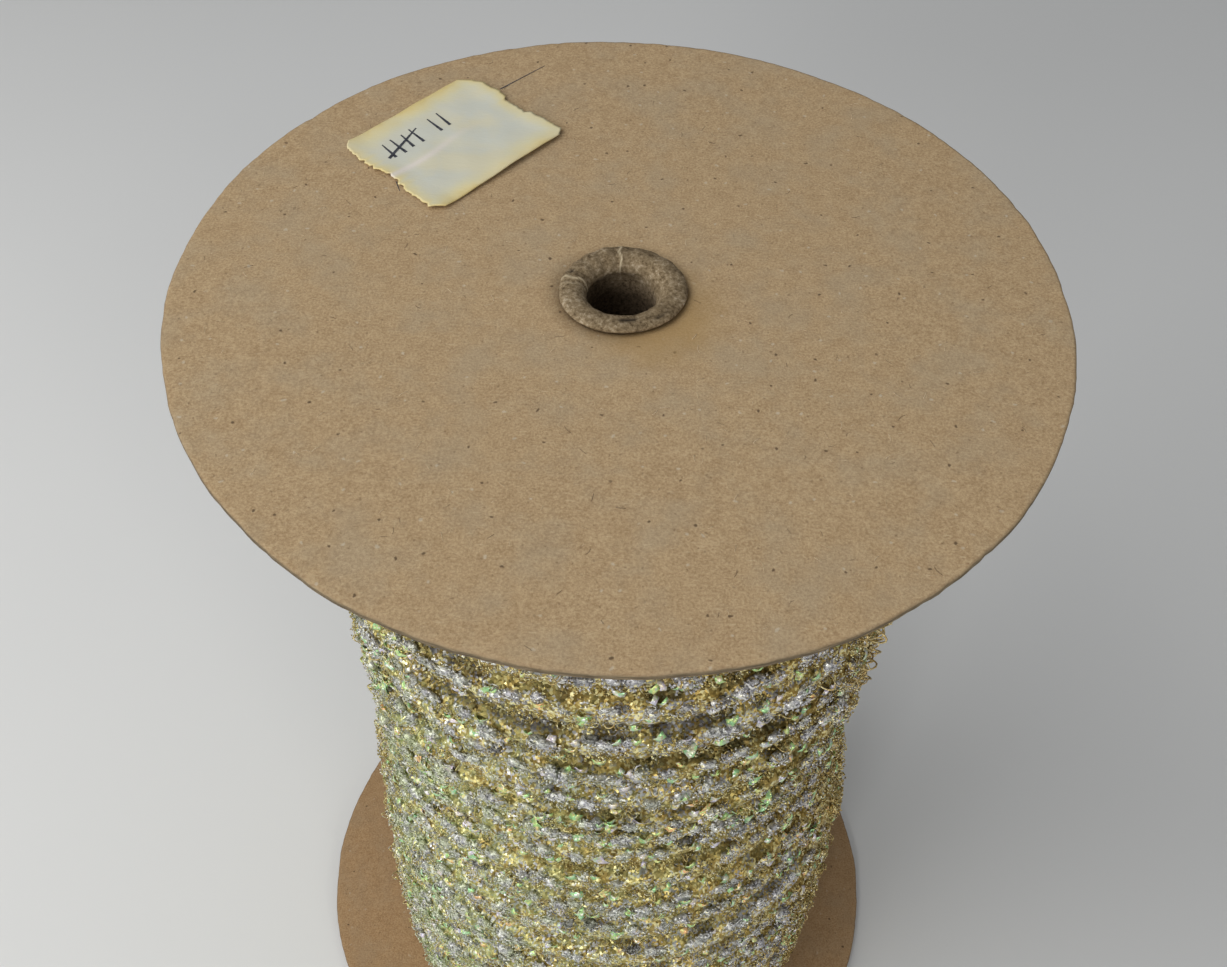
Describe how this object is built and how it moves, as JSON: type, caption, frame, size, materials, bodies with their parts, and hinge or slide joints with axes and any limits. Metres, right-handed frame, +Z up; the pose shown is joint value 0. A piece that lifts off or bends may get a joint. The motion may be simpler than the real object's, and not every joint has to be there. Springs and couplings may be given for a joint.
{
  "type": "tinsel picot trim on a paperboard spool",
  "caption": "Metallic picot trim wound in level turns on a round-flanged paperboard spool with a rolled tube core, to be unwound and sewn on.",
  "frame": {"origin": "on the surface that the spool stands on, below the middle of its tube", "axes": "+Z up the spool's axis, -Y towards the viewer of the picture, +X to the right"},
  "size_m": [0.1524, 0.1524, 0.2322],
  "materials": {
    "board": "matt brown board with short fibres",
    "tube": "matt grey-brown rolled paper",
    "trim": "glittering silver and gold tinsel loops with pearly green film",
    "tape": "cream paper tape, yellowed at its edges"
  },
  "bodies": {
    "root": {"flange_bottom": "board", "flange_top": "board", "core_tube": "tube", "trim_winding": "trim", "tape_label": "tape"}
  },
  "joints": []
}
